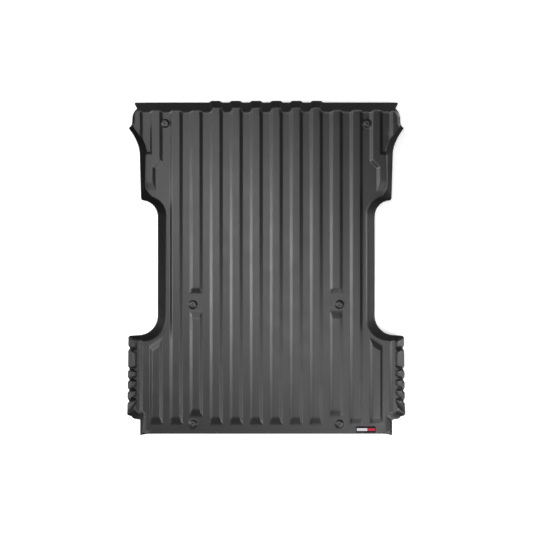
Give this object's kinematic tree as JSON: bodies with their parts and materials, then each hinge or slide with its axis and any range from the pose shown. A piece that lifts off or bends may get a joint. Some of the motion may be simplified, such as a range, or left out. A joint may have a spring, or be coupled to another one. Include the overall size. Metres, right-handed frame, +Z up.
{
  "type": "truck bed liner",
  "caption": "Moulded rubber pickup bed mat with ribs, raised walls, wheel-well cut-outs and an open rear edge.",
  "frame": {"origin": "under the middle of the overall box, on the plane that the underside rests on", "axes": "+Y towards the cab (the rear edge is at -Y), +X towards the passenger side, +Z up"},
  "size_m": [1.722, 2.078, 0.064],
  "materials": {
    "mat_rubber": "fine pebble grain, matte",
    "adhesive": "closed-cell foam tape",
    "badge_black": "satin",
    "badge_silver": "satin silver paint",
    "badge_red": "satin red paint"
  },
  "bodies": {
    "root": {"bed_mat": "mat_rubber", "badge_adhesive_pad": "adhesive", "badge_plate": "badge_black", "badge_silver_inlay": "badge_silver", "badge_red_inlay": "badge_red"}
  },
  "joints": []
}
